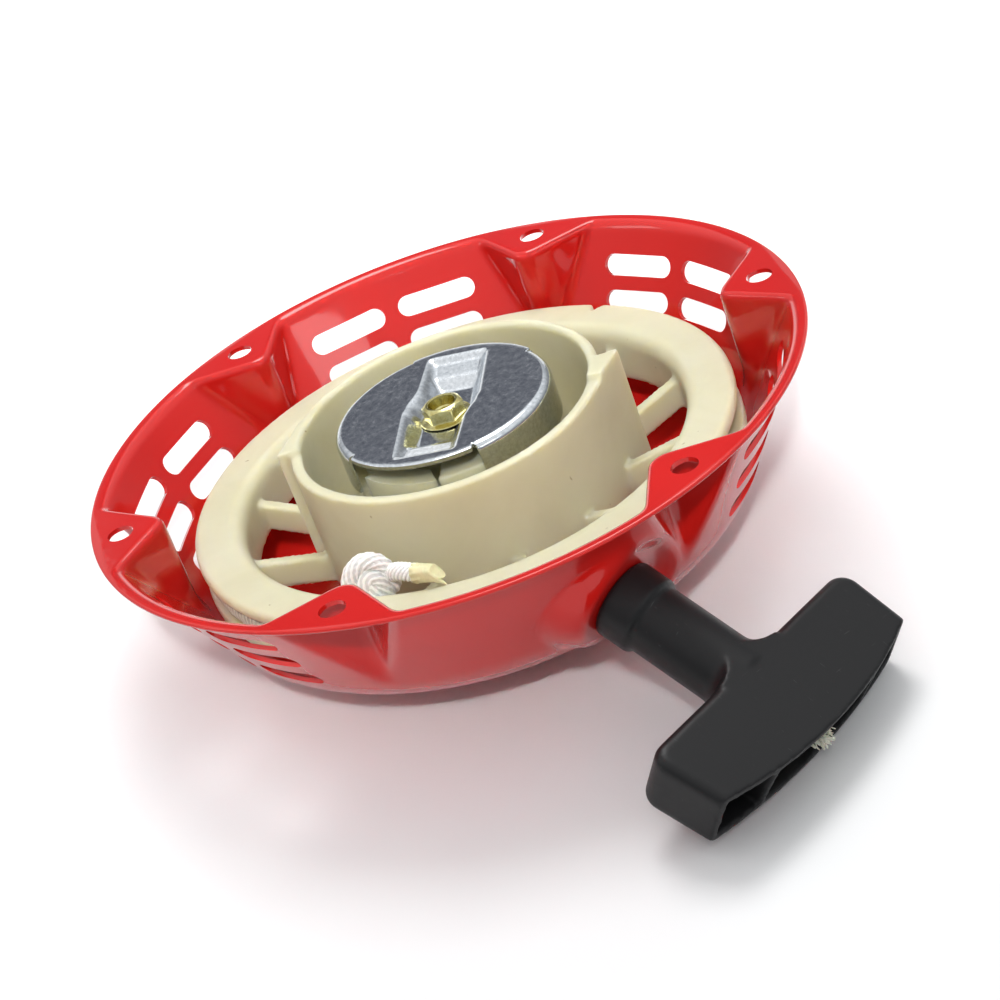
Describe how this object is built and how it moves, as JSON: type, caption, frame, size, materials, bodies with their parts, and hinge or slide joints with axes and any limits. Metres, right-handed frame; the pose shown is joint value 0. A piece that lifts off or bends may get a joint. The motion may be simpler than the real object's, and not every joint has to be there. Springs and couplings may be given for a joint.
{
  "type": "recoil starter",
  "caption": "Pull starter for a small engine: pressed red cup housing, nylon rope reel with ratchet disc and dogs, and a black T-grip on a rope.",
  "frame": {"origin": "centre of the circle of six mounting holes, on the face that bolts to the engine", "axes": "+Z along the reel's axis towards the engine; +X through one mounting hole; the grip is pulled towards +X, 5 degrees towards +Y and 30 degrees down from the mounting face"},
  "size_m": [0.2327, 0.194, 0.0639],
  "materials": {
    "red_paint": "glossy baked enamel on pressed steel",
    "nylon": "natural cream nylon, slightly translucent, satin",
    "zinc": "bright zinc plate, smooth",
    "steel": "turned steel",
    "spring_steel": "blued spring steel",
    "yellow_zinc": "yellow chromated zinc plate",
    "rope": "braided white nylon rope",
    "rope_end": "braided nylon rope with a melted, yellowed end",
    "black_plastic": "black polypropylene, satin, lightly scratched"
  },
  "bodies": {
    "case": {"housing": "red_paint", "centre_post": "steel", "rope_guide_bush": "steel", "recoil_spring": "spring_steel", "thrust_washer": "steel", "friction_spring": "spring_steel", "set_bolt": "yellow_zinc", "rope_lead": "rope"},
    "reel": {"reel_drum": "nylon", "reel_ring": "nylon", "reel_wall": "nylon", "reel_spokes": "nylon", "rope_coil": "rope", "reel_rope_knot": "rope", "rope_tail": "rope_end", "pawl_spring_1": "spring_steel", "pawl_spring_2": "spring_steel"},
    "guide": {"ratchet_guide": "zinc"},
    "pawl_a": {"pawl_1": "nylon"},
    "pawl_b": {"pawl_2": "nylon"},
    "rope_end": {"pull_rope": "rope"},
    "grip": {"grip": "black_plastic", "grip_rope_knot": "rope", "rope_frayed_end": "rope"}
  },
  "joints": [
    {"name": "reel_spin", "type": "hinge", "parent": "case", "child": "reel", "pos_m": [0, 0, -0.02], "axis": [0, 0, 1], "range_deg": [0, 675], "stiffness_Nm_per_rad": 0.03, "springref_deg": -1145.92, "deforming": ["rope_coil"]},
    {"name": "guide_turn", "type": "hinge", "parent": "reel", "child": "guide", "pos_m": [0, 0, 0], "axis": [0, 0, -1], "range_deg": [0, 28]},
    {"name": "pawl_1_swing", "type": "hinge", "parent": "reel", "child": "pawl_a", "pos_m": [-0.00551, -0.01922, 0], "axis": [0, 0, -1], "range_deg": [0, 24], "deforming": ["pawl_spring_1"]},
    {"name": "pawl_2_swing", "type": "hinge", "parent": "reel", "child": "pawl_b", "pos_m": [0.00551, 0.01922, 0], "axis": [0, 0, -1], "range_deg": [0, 24], "deforming": ["pawl_spring_2"]},
    {"name": "grip_pull", "type": "slide", "parent": "case", "child": "rope_end", "axis": [0.8627, 0.0755, -0.5], "range_m": [0, 0.8], "deforming": ["pull_rope"]},
    {"name": "grip_swivel", "type": "hinge", "parent": "rope_end", "child": "grip", "pos_m": [0.0775, -0.022, -0.026], "axis": [0.8627, 0.0755, -0.5], "range_deg": [-90, 90]}
  ],
  "couplings": [
    {"joint": "grip_pull", "follows": "reel_spin", "m_per_rad": 0.0679},
    {"joint": "pawl_1_swing", "follows": "guide_turn", "ratio": 0.85714},
    {"joint": "pawl_2_swing", "follows": "guide_turn", "ratio": 0.85714}
  ]
}
